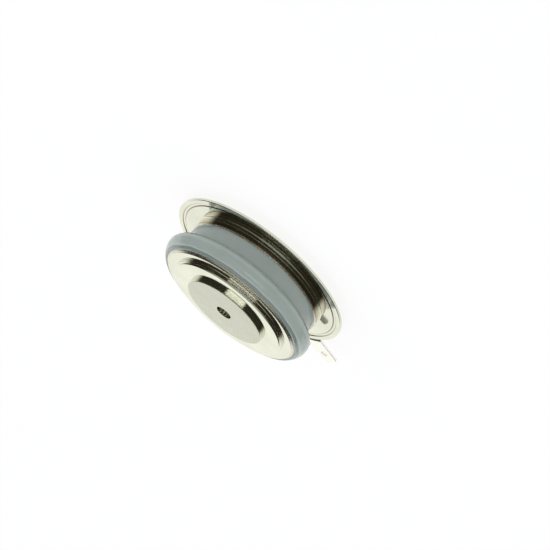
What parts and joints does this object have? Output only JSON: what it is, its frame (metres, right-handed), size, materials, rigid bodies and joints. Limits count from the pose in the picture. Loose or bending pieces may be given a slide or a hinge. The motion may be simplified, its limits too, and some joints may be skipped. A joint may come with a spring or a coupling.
{
  "type": "disc thyristor",
  "caption": "Disc thyristor: a glazed ceramic capsule with a flat centred contact on each end, a wide welded rim, a push-on cathode tab and a small gate tube.",
  "frame": {"origin": "centre of the cathode contact face, which the part stands on", "axes": "+Z along the capsule's axis from the cathode face to the anode face, +X along the terminal tab"},
  "size_m": [0.0483, 0.0406, 0.0142],
  "materials": {
    "glazed_alumina": "clear glaze over grey-blue alumina",
    "plated_copper": "nickel-plated copper, lapped on the contact face",
    "nickel_sheet": "bright nickel plate on formed sheet",
    "tinned_blade": "tin-plated brass blade",
    "nickel_tube": "plain nickel tube",
    "silver": "soft silver",
    "fluoropolymer": "white fluoropolymer",
    "spring_steel": "drawn spring wire",
    "molybdenum": "lapped molybdenum",
    "silicon": "polished silicon",
    "silicone_rubber": "cast silicone rubber"
  },
  "bodies": {
    "root": {"ceramic_housing": "glazed_alumina", "anode_pole": "plated_copper", "anode_flange": "nickel_sheet", "weld_ring": "nickel_sheet", "cathode_lid": "nickel_sheet", "cathode_pole": "plated_copper", "cathode_tab": "tinned_blade", "gate_tube": "nickel_tube", "gate_lead": "silver", "lead_sleeve": "fluoropolymer", "gate_cup": "fluoropolymer", "gate_spring": "spring_steel", "gate_contact": "silver", "cathode_plate": "molybdenum", "silicon_wafer": "silicon", "edge_seal": "silicone_rubber", "anode_plate": "molybdenum", "silver_foil": "silver", "centring_ring": "fluoropolymer"}
  },
  "joints": []
}
